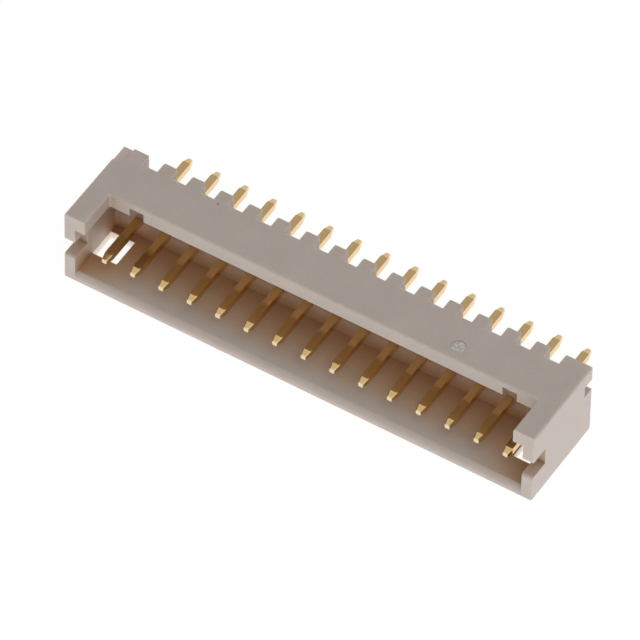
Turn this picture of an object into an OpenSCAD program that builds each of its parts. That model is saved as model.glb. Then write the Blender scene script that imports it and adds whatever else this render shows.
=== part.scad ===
// Single-row shrouded pin header for a cable plug: one moulded housing and a row of
// straight square contacts. It lies on its long lower wall: X runs along the row, the
// mouth that takes the plug faces -Y, the solder tails point to +Y and +Z is up.
// The origin is the centre of the bounding box at its lowest face.

/* [Contacts] */
// Number of contacts in the row
contact_count = 15; // [4:1:30]
// Distance from one contact to the next
pitch = 2.0; // [1.8:0.05:2.54]
// Side of the square contact
contact_w = 0.5; // [0.4:0.01:0.64]
// Side of the small flat at both points
contact_flat = 0.33; // [0.15:0.01:0.35]
// Height of the contact row above the rest face
contact_z = 2.0; // [1.5:0.05:2.6]
// Distance from the mouth back to the contact points
contact_setback = 0.75; // [0.3:0.05:1.5]
// Length of the tapered point in the mouth
mating_taper = 0.45; // [0.3:0.05:1]
// Length of the solder tails past the standoffs
tail_l = 3.7; // [2.5:0.1:5]
// Length of the tapered point on the tail
tail_taper = 0.4; // [0.2:0.05:1]
// How far the rounding of a point's corners runs on behind its taper
point_run = 0.1; // [0.05:0.01:0.2]
// Clearance round a contact in the back wall
contact_fit = 0.01; // [0:0.01:0.04]

/* [Housing] */
// Distance from an end contact to the outside of the end wall
end_margin = 2.35; // [2:0.05:3]
// Distance from the mouth to the faces that sit on the board
body_d = 6.65; // [6.2:0.05:8]
// Height across the two long walls
body_h = 5.6; // [5.2:0.05:6.5]
// Thickness of the long lower wall
lower_wall_t = 0.65; // [0.5:0.05:0.9]
// Thickness of the long upper wall
upper_wall_t = 1.05; // [0.9:0.05:1.3]
// Thickness of the end walls
end_wall_t = 0.75; // [0.6:0.05:0.9]
// Depth of the plug cavity behind the mouth
cavity_d = 4.6; // [4.2:0.05:4.9]
// Radius of the two upright corners at the back of the cavity
cavity_r = 0.2; // [0.1:0.05:0.4]
// Radius of the outer edges that run from the mouth to the board side
side_r = 0.15; // [0.05:0.05:0.3]
// Radius of all other outer edges
edge_r = 0.05; // [0.02:0.01:0.15]
// Radius of the inner edge along the lower wall's mouth
lip_r = 0.4; // [0.2:0.05:0.45]

/* [Latch cut-out in the upper wall] */
// Width of the arm left at each end
arm_w = 1.45; // [1.2:0.05:1.9]
// Depth of the cut-out behind the mouth
cutout_d = 2.75; // [2:0.05:3.4]
// Radius of its two inner corners
cutout_r = 0.15; // [0.1:0.05:0.8]
// Radius of its rounded upper edge
cutout_edge_r = 0.15; // [0.05:0.05:0.5]

/* [Key grooves, end slots and windows] */
// Width of the two grooves under the upper wall
groove_w = 1.0; // [0.6:0.05:1.3]
// Depth of the grooves
groove_d = 0.65; // [0.3:0.05:0.7]
// Depth of the end slots behind the mouth
slot_d = 1.4; // [0.8:0.05:1.8]
// Height of the end slots' lower side above the rest face
slot_z = 2.05; // [1.5:0.05:2.2]
// Height of the end slots
slot_h = 1.4; // [0.8:0.05:1.6]
// Radius of the edge where a slot's lower side meets the mouth
slot_r = 0.2; // [0.1:0.05:0.4]
// Width of the windows in the lower wall
window_w = 1.7; // [1.2:0.05:2.2]
// Length of the windows
window_l = 2.05; // [1.4:0.05:2.4]
// Distance from the mouth back to the windows
window_setback = 1.95; // [1.5:0.05:2.1]

/* [Board side] */
// Height of the standoffs over the back wall
standoff_h = 0.85; // [0.5:0.05:1]
// Thickness of the standoff tabs
tab_t = 1.05; // [0.7:0.05:1.1]
// Width of the gap between two tabs, centred on each contact
tab_gap = 1.05; // [0.8:0.05:1.2]
// Radius of the tabs' free corners
tab_r = 0.15; // [0.1:0.05:0.3]
// Height of the notch in each end foot, under the upper tabs
notch_h = 0.9; // [0.6:0.05:1.2]

/* [Corner mark and gate mark] */
// Width of the lowered corner beside the first contact
mark_w = 0.75; // [0.5:0.05:0.9]
// Length of the lowered corner
mark_l = 1.4; // [1:0.05:1.8]
// Depth of the lowered corner
mark_d = 0.25; // [0.1:0.05:0.4]
// Diameter of the moulding gate's mark
gate_dia = 0.95; // [0.6:0.05:1.3]
// Depth of the gate mark
gate_depth = 0.05; // [0.02:0.01:0.1]
// Distance from the mouth back to the gate mark
gate_setback = 3.75; // [3.6:0.05:4.4]
// Distance from the gate mark to the outside of the far end wall
gate_inset = 7.5; // [4:0.1:10]

/* [Hidden] */
$fn = 32;
bite = 0.1; // how far a cutter runs past the face that it opens
point_roundness = 0.86; // radius of a point's end over the half diagonal of its flat
row_l = (contact_count - 1) * pitch;
body_w = row_l + 2 * end_margin;
mouth_y = -(body_d + tail_l) / 2;
seat_y = mouth_y + body_d;
tail_y = seat_y + tail_l;
cavity_w = body_w - 2 * end_wall_t;
cavity_y = mouth_y + cavity_d;
ceiling_z = body_h - upper_wall_t;
cutout_w = body_w - 2 * arm_w;
cutout_y = mouth_y + cutout_d;
back_y = seat_y - standoff_h;
point_y = mouth_y + contact_setback;
tab_z = body_h - tab_t;
body_mid_y = (mouth_y + seat_y) / 2;

function contact_name(i) = str("contact_", i < 10 ? "0" : "", i);
function contact_x(i) = (i - 1) * pitch - row_l / 2;

// Rectangle about the origin with four rounded corners
module rounded_rect(w, h, r) {
  square([w - 2 * r, h], center = true);
  square([w, h - 2 * r], center = true);
  for (x = [-1, 1], y = [-1, 1])
    translate([x * (w / 2 - r), y * (h / 2 - r)]) circle(r);
}

// What rounding takes off an edge: the edge lies at the origin, the solid right and below
module edge_waste(r) {
  difference() {
    translate([-bite, -r]) square([r + bite, r + bite]);
    translate([r, -r]) circle(r);
  }
}

// Block that starts at a mouth-side corner: x from the left, y behind the mouth, z from below
module cut(x, y, z, size) {
  translate([x, mouth_y + y, z]) cube(size);
}

// Outer block, with every outer edge rounded
module block() {
  intersection() {
    translate([0, body_mid_y, 0]) linear_extrude(body_h) rounded_rect(body_w, body_d, edge_r);
    translate([0, seat_y, body_h / 2]) rotate([90, 0, 0])
      linear_extrude(body_d) rounded_rect(body_w, body_h, side_r);
    translate([-body_w / 2, body_mid_y, body_h / 2]) rotate([90, 0, 90])
      linear_extrude(body_w) rounded_rect(body_d, body_h, edge_r);
  }
}

// Room for the plug, open at the mouth
module cavity() {
  reach = cavity_d + cavity_r + bite;
  translate([0, cavity_y - reach / 2, lower_wall_t])
    linear_extrude(ceiling_z - lower_wall_t) rounded_rect(cavity_w, reach, cavity_r);
}

// Wide cut-out in the upper wall between the two arms
module latch_cutout() {
  reach = cutout_d + cutout_r + bite;
  translate([0, cutout_y - reach / 2, ceiling_z - bite])
    linear_extrude(upper_wall_t + 2 * bite) rounded_rect(cutout_w, reach, cutout_r);
}

// Rounded upper edge that runs along one arm, round the corner and over to the middle
module cutout_edge() {
  corner_x = cutout_w / 2 - cutout_r;
  corner_y = cutout_y - cutout_r;
  translate([cutout_w / 2, corner_y, body_h]) rotate([90, 0, 0])
    linear_extrude(cutout_d - cutout_r + bite) edge_waste(cutout_edge_r);
  translate([corner_x, corner_y, body_h])
    rotate_extrude(angle = 90) translate([cutout_r, 0]) edge_waste(cutout_edge_r);
  translate([0, cutout_y, body_h]) rotate([90, 0, 90])
    linear_extrude(corner_x) edge_waste(cutout_edge_r);
}

// Rounded inner edge of the lower wall at the mouth
module lower_lip() {
  translate([-cavity_w / 2, mouth_y, lower_wall_t]) rotate([90, 0, 90])
    linear_extrude(cavity_w) edge_waste(lip_r);
}

// Groove under the upper wall, halfway between the last two contacts
module key_groove() {
  cut(row_l / 2 - pitch / 2 - groove_w / 2, 0, ceiling_z - bite, [groove_w, cavity_d, groove_d + bite]);
}

// Slot through the end wall, open at the mouth, with the front edge of its lower side rounded
module end_slot() {
  cut(cavity_w / 2 - bite, -bite, slot_z, [end_wall_t + 2 * bite, slot_d + bite, slot_h]);
  translate([cavity_w / 2 - bite, mouth_y, slot_z]) rotate([90, 0, 90])
    linear_extrude(end_wall_t + 2 * bite) edge_waste(slot_r);
}

// Window through the lower wall, flush with the end wall's inner side
module window() {
  cut(cavity_w / 2 - window_w, window_setback, -bite, [window_w, window_l, lower_wall_t + 2 * bite]);
}

// Notch through the end foot, just under the upper tabs
module foot_notch() {
  notch = [end_wall_t + 2 * bite, standoff_h + bite, notch_h];
  cut(cavity_w / 2 - bite, body_d - standoff_h, tab_z - notch_h, notch);
}

// Gap between two tabs in plan, centred on a contact, with its outer corners rounded
module tab_gap_plan() {
  flare = tab_gap + 2 * tab_r;
  translate([-tab_gap / 2, -standoff_h]) square([tab_gap, standoff_h + bite]);
  difference() {
    translate([-flare / 2, -tab_r]) square([flare, tab_r + bite]);
    for (x = [-1, 1])
      translate([x * flare / 2, -tab_r]) circle(tab_r);
  }
}

// What is taken off the board side: the room behind the tabs, and the gaps between them
module board_side() {
  cut(-cavity_w / 2, body_d - standoff_h, tab_t, [cavity_w, standoff_h + bite, tab_z - tab_t]);
  for (i = [1 : contact_count])
    translate([contact_x(i), seat_y, -bite]) linear_extrude(body_h + 2 * bite) tab_gap_plan();
}

// Lowered corner beside the first contact
module corner_mark() {
  cut(-body_w / 2 - bite, body_d - mark_l, body_h - mark_d, [mark_w + bite, mark_l + bite, mark_d + bite]);
}

// Shallow round mark left by the moulding gate
module gate_mark() {
  translate([body_w / 2 - gate_inset, mouth_y + gate_setback, body_h - gate_depth])
    cylinder(h = gate_depth + bite, d = gate_dia);
}

// Square hole for one contact through the back wall
module contact_hole(i) {
  hole_w = contact_w + 2 * contact_fit;
  translate([contact_x(i) - hole_w / 2, cavity_y - bite, contact_z - hole_w / 2])
    cube([hole_w, back_y - cavity_y + 2 * bite, hole_w]);
}

// Side view of a contact about its axis: a bar that tapers to a small flat at both ends
module contact_profile() {
  side = contact_w / 2;
  flat = contact_flat / 2;
  bar = point_y + mating_taper;
  bar_end = tail_y - tail_taper;
  polygon([
    [point_y, -flat], [bar, -side], [bar_end, -side], [tail_y, -flat],
    [tail_y, flat], [bar_end, side], [bar, side], [point_y, flat]
  ]);
}

// Turned envelope of a contact: its cones round the corners of both points
module contact_envelope() {
  corner = contact_w / sqrt(2);
  end_r = contact_flat * point_roundness / sqrt(2);
  bar = point_y + mating_taper + point_run;
  bar_end = tail_y - tail_taper - point_run;
  rotate([-90, 0, 0]) rotate_extrude()
    polygon([
      [0, point_y], [end_r, point_y], [corner, bar],
      [corner, bar_end], [end_r, tail_y], [0, tail_y]
    ]);
}

// The moulded housing, in one piece
module housing() {
  color("#A79D94") difference() {
    block();
    cavity();
    latch_cutout();
    lower_lip();
    for (side = [0, 1]) mirror([side, 0, 0]) {
      cutout_edge();
      key_groove();
      end_slot();
      window();
      foot_notch();
    }
    board_side();
    corner_mark();
    gate_mark();
    for (i = [1 : contact_count]) contact_hole(i);
  }
}

// One contact: the same taper seen from above and from the side gives four-sided points
module contact(i) {
  color("#B8934A") translate([contact_x(i), 0, contact_z]) intersection() {
    translate([-contact_w / 2, 0, 0]) rotate([90, 0, 90]) linear_extrude(contact_w) contact_profile();
    translate([0, 0, -contact_w / 2]) linear_extrude(contact_w) rotate(90) contact_profile();
    contact_envelope();
  }
}

housing();
for (i = [1 : contact_count])
  contact(i);
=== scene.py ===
"""Single-row box header: one moulded housing and fifteen gold-plated contacts."""
import math

import bpy
from mathutils import Matrix, Vector

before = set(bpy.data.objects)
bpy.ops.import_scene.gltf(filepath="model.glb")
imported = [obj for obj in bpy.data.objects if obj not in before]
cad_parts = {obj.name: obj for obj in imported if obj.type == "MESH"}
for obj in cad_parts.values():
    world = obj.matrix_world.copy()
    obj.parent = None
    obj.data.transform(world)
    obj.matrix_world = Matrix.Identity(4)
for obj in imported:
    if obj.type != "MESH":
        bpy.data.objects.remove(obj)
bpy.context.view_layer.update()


# --- Housing ---------------------------------------------------------------------------
# The housing is one moulding in glass-filled nylon of a warm natural grey. The tool's
# fine matt finish leaves a soft sheen, and each outer edge is slightly rounded.

MM = 0.001
FACTOR, FIRST, SECOND, MIXED = 0, 6, 7, 2  # the sockets of a Mix node that mixes two colours


def linear(hex_colour):
    """Linear RGBA of an sRGB hex colour."""
    channels = [int(hex_colour[i:i + 2], 16) / 255 for i in (1, 3, 5)]
    return [c / 12.92 if c <= 0.04045 else ((c + 0.055) / 1.055) ** 2.4 for c in channels] + [1.0]


def add(owner, kind, inputs=None, **settings):
    """Adds a node; each input is a value, an output, or a node that stands for its first output."""
    node = owner.node_tree.nodes.new(kind)
    for name, value in settings.items():
        setattr(node, name, value)
    for socket, value in (inputs or {}).items():
        if isinstance(value, bpy.types.Node):
            value = value.outputs[0]
        if isinstance(value, bpy.types.NodeSocket):
            owner.node_tree.links.new(value, node.inputs[socket])
        else:
            node.inputs[socket].default_value = value
    return node


def new_material(name):
    """An empty node material."""
    material = bpy.data.materials.new(name)
    material.use_nodes = True
    material.node_tree.nodes.clear()
    return material


nylon = new_material("moulded glass-filled nylon")
place = add(nylon, "ShaderNodeTexCoord").outputs["Object"]
x, y, z = add(nylon, "ShaderNodeSeparateXYZ", {0: place}).outputs

# Glass and pigment mix unevenly: faint clouds about 3 mm across, and specks. Real specks are
# finer than 0.15 mm, which is as coarse as they need to be to show.
CLOUD_WIDTH, SPECK_WIDTH = 3 * MM, 0.15 * MM
clouds = add(nylon, "ShaderNodeTexNoise", {
    "Vector": place, "Scale": 1 / CLOUD_WIDTH, "Detail": 3.0, "Roughness": 0.6})
specks = add(nylon, "ShaderNodeTexNoise", {
    "Vector": place, "Scale": 1 / SPECK_WIDTH, "Detail": 2.0, "Roughness": 0.6})
cloud_tone = add(nylon, "ShaderNodeMapRange", {"Value": clouds, "From Min": 0.3, "From Max": 0.7})
clouded = add(nylon, "ShaderNodeMix", {
    FACTOR: cloud_tone, FIRST: linear("#BAAEA5"), SECOND: linear("#C0B4AB")}, data_type="RGBA")
speck_tone = add(nylon, "ShaderNodeMapRange", {
    "Value": specks, "From Min": 0.3, "From Max": 0.7, "To Min": 0.97, "To Max": 1.03})
speckled = add(nylon, "ShaderNodeVectorMath", {
    0: clouded.outputs[MIXED], "Scale": speck_tone}, operation="SCALE")

# The gate was broken off at a rough paler disc; a dark fleck is moulded in further along.
UPPER_FACE_Z = 5.4 * MM  # a little under the outside of the upper wall
TEAR_WIDTH = 0.16 * MM
flat_place = add(nylon, "ShaderNodeCombineXYZ", {0: x, 1: y})
upper_face = add(nylon, "ShaderNodeMath", {0: z, 1: UPPER_FACE_Z}, operation="GREATER_THAN")


def spot_on_top(centre, radius, rim):
    """1 within a round spot of the upper face, 0 elsewhere, with a soft rim."""
    away = add(nylon, "ShaderNodeVectorMath", {0: flat_place, 1: centre}, operation="DISTANCE")
    near = add(nylon, "ShaderNodeMapRange", {
        "Value": away.outputs["Value"], "From Min": radius - rim, "From Max": radius,
        "To Min": 1.0, "To Max": 0.0})
    return add(nylon, "ShaderNodeMath", {0: near, 1: upper_face}, operation="MULTIPLY")


gate = spot_on_top((8.85 * MM, -1.425 * MM, 0), radius=0.475 * MM, rim=0.06 * MM)
fleck = spot_on_top((-9.06 * MM, 0.405 * MM, 0), radius=0.09 * MM, rim=0.05 * MM)
torn = add(nylon, "ShaderNodeTexNoise", {
    "Vector": place, "Scale": 1 / TEAR_WIDTH, "Detail": 2.0, "Roughness": 0.6})
torn_tone = add(nylon, "ShaderNodeMapRange", {"Value": torn, "From Min": 0.42, "From Max": 0.60})
torn_colour = add(nylon, "ShaderNodeMix", {
    FACTOR: torn_tone, FIRST: linear("#B7AEAA"), SECOND: linear("#D3CDCB")}, data_type="RGBA")
with_gate = add(nylon, "ShaderNodeMix", {
    FACTOR: gate, FIRST: speckled, SECOND: torn_colour.outputs[MIXED]}, data_type="RGBA")
with_fleck = add(nylon, "ShaderNodeMix", {
    FACTOR: fleck, FIRST: with_gate.outputs[MIXED], SECOND: linear("#63606A")}, data_type="RGBA")

# The corner mark's floor came off a smoother patch of the tool and is a little pinker.
MARK_FLOOR_Z, MARK_Z_EITHER_WAY = 5.35 * MM, 0.04 * MM
MARK_INNER_X = -15.5 * MM
mark_floor = add(nylon, "ShaderNodeMath", {
    0: z, 1: MARK_FLOOR_Z, 2: MARK_Z_EITHER_WAY}, operation="COMPARE")
first_end = add(nylon, "ShaderNodeMath", {0: x, 1: MARK_INNER_X}, operation="LESS_THAN")
corner_mark = add(nylon, "ShaderNodeMath", {0: mark_floor, 1: first_end}, operation="MULTIPLY")
with_mark = add(nylon, "ShaderNodeMix", {
    FACTOR: corner_mark, FIRST: with_fleck.outputs[MIXED], SECOND: linear("#CAB6B1")},
    data_type="RGBA")

# Painted shade: light that has bounced about in the cavity loses blue first and then strength,
# so the cavity's closed-in parts are painted warmer and darker, and most of all low down.
CAVITY_FLOOR_Z, CAVITY_BACK_Y = 0.64 * MM, -0.5 * MM  # each a little past the cavity's own face
LOW_Z, HIGH_Z = 2.2 * MM, 4.5 * MM
open_sky = add(nylon, "ShaderNodeAmbientOcclusion", {"Distance": 4 * MM}, samples=8, only_local=True)
closed_in = add(nylon, "ShaderNodeMapRange", {
    "Value": open_sky.outputs["AO"], "From Min": 0.05, "From Max": 1.0, "To Min": 1.0, "To Max": 0.0})
low_down = add(nylon, "ShaderNodeMapRange", {
    "Value": z, "From Min": LOW_Z, "From Max": HIGH_Z, "To Min": 1.0, "To Max": 0.35})
above_floor = add(nylon, "ShaderNodeMath", {0: z, 1: CAVITY_FLOOR_Z}, operation="GREATER_THAN")
in_front = add(nylon, "ShaderNodeMath", {0: y, 1: CAVITY_BACK_Y}, operation="LESS_THAN")
inside = add(nylon, "ShaderNodeMath", {0: above_floor, 1: in_front}, operation="MULTIPLY")
hollow = add(nylon, "ShaderNodeMath", {0: closed_in, 1: low_down}, operation="MULTIPLY")
hollow_inside = add(nylon, "ShaderNodeMath", {0: hollow, 1: inside}, operation="MULTIPLY")
full_shade = add(nylon, "ShaderNodeMath", {0: hollow_inside, 1: 0.75}, operation="POWER")

# Painted light: the painted shade is eased on the end walls above the windows, so they stay
# lighter there, where light comes up from below. Both ends are alike, so places along the row
# are measured from its middle.
END_WALL_X = 15.45 * MM  # a little short of the end walls' inner faces
LIT_Y, LIT_HALF_WIDTH, LIT_FADED = -2.5 * MM, 0.6 * MM, 1.1 * MM
LIT_Z, UNLIT_Z = 1.4 * MM, 3.0 * MM
unsigned_place = add(nylon, "ShaderNodeVectorMath", {0: place}, operation="ABSOLUTE")
from_middle = add(nylon, "ShaderNodeSeparateXYZ", {0: unsigned_place}).outputs["X"]
end_wall = add(nylon, "ShaderNodeMath", {0: from_middle, 1: END_WALL_X}, operation="GREATER_THAN")
past_lit_y = add(nylon, "ShaderNodeMath", {0: y, 1: -LIT_Y}, operation="ADD")
beside_lit_y = add(nylon, "ShaderNodeMath", {0: past_lit_y}, operation="ABSOLUTE")
over_window = add(nylon, "ShaderNodeMapRange", {
    "Value": beside_lit_y, "From Min": LIT_HALF_WIDTH, "From Max": LIT_FADED,
    "To Min": 0.8, "To Max": 0.0})
near_window = add(nylon, "ShaderNodeMapRange", {
    "Value": z, "From Min": LIT_Z, "From Max": UNLIT_Z, "To Min": 1.0, "To Max": 0.0})
lit_patch = add(nylon, "ShaderNodeMath", {0: over_window, 1: near_window}, operation="MULTIPLY")
lit_wall = add(nylon, "ShaderNodeMath", {0: lit_patch, 1: end_wall}, operation="MULTIPLY")
unlit = add(nylon, "ShaderNodeMath", {0: 1.0, 1: lit_wall}, operation="SUBTRACT")
shade = add(nylon, "ShaderNodeMath", {0: full_shade, 1: unlit}, operation="MULTIPLY")

# Painted bounce light: the painted shade is warmer on the cavity's floor, which takes more of the
# gold's warm light than its walls do.
WARM_Z, COOL_Z = 0.7 * MM, 2.4 * MM
off_floor = add(nylon, "ShaderNodeMapRange", {"Value": z, "From Min": WARM_Z, "From Max": COOL_Z})
painted_bounce_colour = add(nylon, "ShaderNodeMix", {
    FACTOR: off_floor, FIRST: linear("#ECB07A"), SECOND: linear("#D4B79E")}, data_type="RGBA")
painted_shade_tint = add(nylon, "ShaderNodeGamma", {"Color": painted_bounce_colour.outputs[MIXED], "Gamma": shade})
with_painted_shade = add(nylon, "ShaderNodeVectorMath", {
    0: with_mark.outputs[MIXED], 1: painted_shade_tint}, operation="MULTIPLY")

# Painted light: the thin sides of the two windows are painted pale, standing in for the bright
# ground shining up through the windows.
WINDOW_MIDDLE = (14.75 * MM, -2.2 * MM, 0.3 * MM)
WINDOW_REACH = (0.88 * MM, 1.055 * MM, 0.34 * MM)  # half a window, and a little more round it
folded_place = add(nylon, "ShaderNodeCombineXYZ", {0: from_middle, 1: y, 2: z})
off_window = add(nylon, "ShaderNodeVectorMath", {
    0: folded_place, 1: WINDOW_MIDDLE}, operation="SUBTRACT")
off_window_size = add(nylon, "ShaderNodeVectorMath", {0: off_window}, operation="ABSOLUTE")
past_reach = add(nylon, "ShaderNodeVectorMath", {
    0: off_window_size, 1: WINDOW_REACH}, operation="SUBTRACT")
past_x, past_y, past_z = add(nylon, "ShaderNodeSeparateXYZ", {0: past_reach}).outputs
past_side = add(nylon, "ShaderNodeMath", {0: past_x, 1: past_y}, operation="MAXIMUM")
past_any = add(nylon, "ShaderNodeMath", {0: past_side, 1: past_z}, operation="MAXIMUM")
window_side = add(nylon, "ShaderNodeMath", {0: past_any, 1: 0.0}, operation="LESS_THAN")
colour = add(nylon, "ShaderNodeMix", {
    FACTOR: window_side, FIRST: with_painted_shade, SECOND: linear("#F2E9E0")}, data_type="RGBA")

# The tool's matt finish leaves a grain finer than 0.08 mm, which is as coarse as it needs to be
# to show. The sheen varies with the clouds, and a little light goes into the nylon.
GRAIN_WIDTH, GRAIN_DEPTH = 0.08 * MM, 0.01 * MM
LIGHT_DEPTH = 0.3 * MM
grain = add(nylon, "ShaderNodeTexNoise", {"Vector": place, "Scale": 1 / GRAIN_WIDTH, "Detail": 2.0})
relief = add(nylon, "ShaderNodeBump", {"Height": grain, "Strength": 0.25, "Distance": GRAIN_DEPTH})
sheen = add(nylon, "ShaderNodeMapRange", {
    "Value": clouds, "From Min": 0.3, "From Max": 0.7, "To Min": 0.40, "To Max": 0.48})
skin = add(nylon, "ShaderNodeBsdfPrincipled", {
    "Base Color": colour.outputs[MIXED], "Roughness": sheen, "Normal": relief, "IOR": 1.53,
    "Subsurface Weight": 0.5, "Subsurface Radius": (1.0, 0.8, 0.65), "Subsurface Scale": LIGHT_DEPTH})
add(nylon, "ShaderNodeOutputMaterial", {"Surface": skin})

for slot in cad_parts["housing"].material_slots:
    slot.material = nylon

# --- Contacts --------------------------------------------------------------------------
# Each contact is a length of drawn square brass wire with pointed ends, plated with thin
# gold and pressed through the back wall. The plating is close to a mirror.

gold = new_material("gold-plated brass")
place = add(gold, "ShaderNodeTexCoord").outputs["Object"]
wire_y = add(gold, "ShaderNodeSeparateXYZ", {0: place}).outputs["Y"]

# Drawing leaves faint lines along the wire. Real ones are finer than 0.05 mm, which is as
# coarse as they need to be to show. They blur the mirror a little.
LINE_WIDTH = 0.05 * MM
STRETCH = (1.0, 0.03, 1.0)  # draws the noise out along the wire
lengthwise = add(gold, "ShaderNodeMapping", {"Vector": place, "Scale": STRETCH})
draw_lines = add(gold, "ShaderNodeTexNoise", {
    "Vector": lengthwise, "Scale": 1 / LINE_WIDTH, "Detail": 2.0})
blur = add(gold, "ShaderNodeMapRange", {
    "Value": draw_lines, "From Min": 0.3, "From Max": 0.7, "To Min": 0.10, "To Max": 0.18})

# The gold is painted deeper in the cavity than on the open tails, as painted shade, and palest at
# the wire's blunt ends.
TAIL_FROM_Y, TAIL_TO_Y = -0.5 * MM, 0.7 * MM
WIRE_MIDDLE_Y, BLUNT_END_FROM = 0.375 * MM, 4.70 * MM
on_tail = add(gold, "ShaderNodeMapRange", {
    "Value": wire_y, "From Min": TAIL_FROM_Y, "From Max": TAIL_TO_Y})
gold_with_painted_shade = add(gold, "ShaderNodeMix", {
    FACTOR: on_tail, FIRST: linear("#EBC88A"), SECOND: linear("#EFCC95")}, data_type="RGBA")
between_ends = add(gold, "ShaderNodeMath", {
    0: wire_y, 1: WIRE_MIDDLE_Y, 2: BLUNT_END_FROM}, operation="COMPARE")
wire_tone = add(gold, "ShaderNodeMix", {
    FACTOR: between_ends, FIRST: linear("#E9D3A9"), SECOND: gold_with_painted_shade.outputs[MIXED]},
    data_type="RGBA")
plating = add(gold, "ShaderNodeBsdfPrincipled", {
    "Base Color": wire_tone.outputs[MIXED], "Metallic": 1.0, "Roughness": blur})
add(gold, "ShaderNodeOutputMaterial", {"Surface": plating})

for name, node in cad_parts.items():
    if name.startswith("contact_"):
        for slot in node.material_slots:
            slot.material = gold

# --- Floor -----------------------------------------------------------------------------
# A plain sheet of white paper under the header. It shows as white to the camera and in the
# gold, throws soft light up at the header, and still takes the header's shadow.

WHITE = (1, 1, 1, 1)
PAPER_GREY = (0.22, 0.22, 0.22, 1)
PAPER_REACH = 0.6
paper = new_material("white paper")
ray = add(paper, "ShaderNodeLightPath").outputs
in_view = add(paper, "ShaderNodeMath", {
    0: ray["Is Camera Ray"], 1: ray["Is Glossy Ray"]}, operation="MAXIMUM")
shows_white = add(paper, "ShaderNodeMath", {
    0: in_view, 1: ray["Is Transmission Ray"]}, operation="MAXIMUM")
matt = add(paper, "ShaderNodeBsdfDiffuse", {"Color": PAPER_GREY})
upward_light = add(paper, "ShaderNodeEmission", {"Color": WHITE, "Strength": 1.28})
visible_white = add(paper, "ShaderNodeEmission", {"Color": WHITE, "Strength": 0.86})
as_light = add(paper, "ShaderNodeAddShader", {0: matt, 1: upward_light})
as_seen = add(paper, "ShaderNodeAddShader", {0: matt, 1: visible_white})
surface = add(paper, "ShaderNodeMixShader", {0: shows_white, 1: as_light, 2: as_seen})
add(paper, "ShaderNodeOutputMaterial", {"Surface": surface})

corners = [(-PAPER_REACH, -PAPER_REACH, 0), (PAPER_REACH, -PAPER_REACH, 0),
           (PAPER_REACH, PAPER_REACH, 0), (-PAPER_REACH, PAPER_REACH, 0)]
sheet = bpy.data.meshes.new("floor")
sheet.from_pydata(corners, [], [(0, 1, 2, 3)])
sheet.materials.append(paper)
floor = bpy.data.objects.new("floor", sheet)
bpy.context.scene.collection.objects.link(floor)

# --- Light -----------------------------------------------------------------------------
# A white tent lights the header evenly, most of all from above, and shows in the gold as
# dimmer high up behind it. One large soft lamp stands above, to the right and in front.

TENT_LEAN, TENT_LEVEL = (0.06, -0.02, 0.50), 0.22
BRIGHT_IN_GOLD, DIM_IN_GOLD = 0.95, 0.48
world = bpy.data.worlds.new("light tent")
world.use_nodes = True
world.node_tree.nodes.clear()
bpy.context.scene.world = world
ray = add(world, "ShaderNodeLightPath").outputs
direction = add(world, "ShaderNodeTexCoord").outputs["Generated"]
lean = add(world, "ShaderNodeVectorMath", {0: direction, 1: TENT_LEAN}, operation="DOT_PRODUCT")
level = add(world, "ShaderNodeMath", {0: lean.outputs["Value"], 1: TENT_LEVEL}, operation="ADD")
soft_light = add(world, "ShaderNodeBackground", {"Color": WHITE, "Strength": level})
towards = add(world, "ShaderNodeSeparateXYZ", {0: direction}).outputs
behind = add(world, "ShaderNodeMapRange", {"Value": towards["Y"], "From Min": -0.1, "From Max": 0.5})
high_up = add(world, "ShaderNodeMapRange", {"Value": towards["Z"], "From Min": 0.3, "From Max": 0.7})
dimming = add(world, "ShaderNodeMath", {0: behind, 1: high_up}, operation="MULTIPLY")
gold_level = add(world, "ShaderNodeMapRange", {
    "Value": dimming, "To Min": BRIGHT_IN_GOLD, "To Max": DIM_IN_GOLD})
in_gold = add(world, "ShaderNodeBackground", {"Color": WHITE, "Strength": gold_level})
in_camera = add(world, "ShaderNodeBackground", {"Color": WHITE, "Strength": 1.0})
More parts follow.
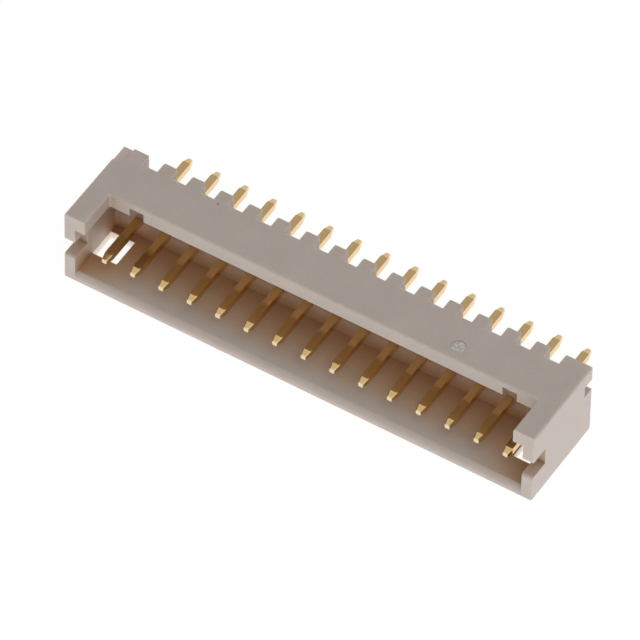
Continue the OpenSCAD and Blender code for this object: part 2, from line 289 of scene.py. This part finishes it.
tent = add(world, "ShaderNodeMixShader", {0: ray["Is Glossy Ray"], 1: soft_light, 2: in_gold})
straight_on = add(world, "ShaderNodeMath", {
    0: ray["Is Camera Ray"], 1: ray["Is Transmission Ray"]}, operation="MAXIMUM")
surround = add(world, "ShaderNodeMixShader", {0: straight_on, 1: tent, 2: in_camera})
add(world, "ShaderNodeOutputWorld", {"Surface": surround})

LAMP_DISTANCE = 0.5
to_lamp = Vector((0.5, -0.35, 1.0)).normalized()
softbox = bpy.data.lights.new("key lamp", "AREA")
softbox.shape = "SQUARE"
softbox.size = 0.4
softbox.energy = 0.5
lamp = bpy.data.objects.new("key lamp", softbox)
lamp.location = to_lamp * LAMP_DISTANCE
lamp.rotation_euler = to_lamp.to_track_quat("Z", "Y").to_euler()
bpy.context.scene.collection.objects.link(lamp)

# --- Camera ----------------------------------------------------------------------------
# A long lens looks down at the header from its front right. It aims close to the middle of
# the housing, and is turned slightly about its own axis.

AZIMUTH, ELEVATION, ROLL = math.radians(30.940), math.radians(49.009), math.radians(1.307)
DISTANCE = 613.52 * MM
NEAR_MIDDLE = Vector((0, -1.975 * MM, 2.6 * MM))
AIM_LEFT, AIM_UP = 0.3035 * MM, 0.2672 * MM
right = Vector((math.cos(AZIMUTH), math.sin(AZIMUTH), 0))
ahead = Vector((-math.sin(AZIMUTH) * math.cos(ELEVATION), math.cos(AZIMUTH) * math.cos(ELEVATION),
                -math.sin(ELEVATION)))
up = right.cross(ahead)
across = right * math.cos(ROLL) + up * math.sin(ROLL)
upward = up * math.cos(ROLL) - right * math.sin(ROLL)
position = NEAR_MIDDLE - across * AIM_LEFT + upward * AIM_UP - ahead * DISTANCE
turn = Matrix((across, upward, -ahead)).transposed().to_4x4()

lens = bpy.data.cameras.new("camera")
lens.lens = 581.7
lens.sensor_width = 36.0
lens.clip_start = 0.01
lens.clip_end = 10.0
camera = bpy.data.objects.new("camera", lens)
camera.matrix_world = Matrix.Translation(position) @ turn
bpy.context.scene.collection.objects.link(camera)
bpy.context.scene.camera = camera
bpy.context.scene.view_settings.view_transform = "Standard"
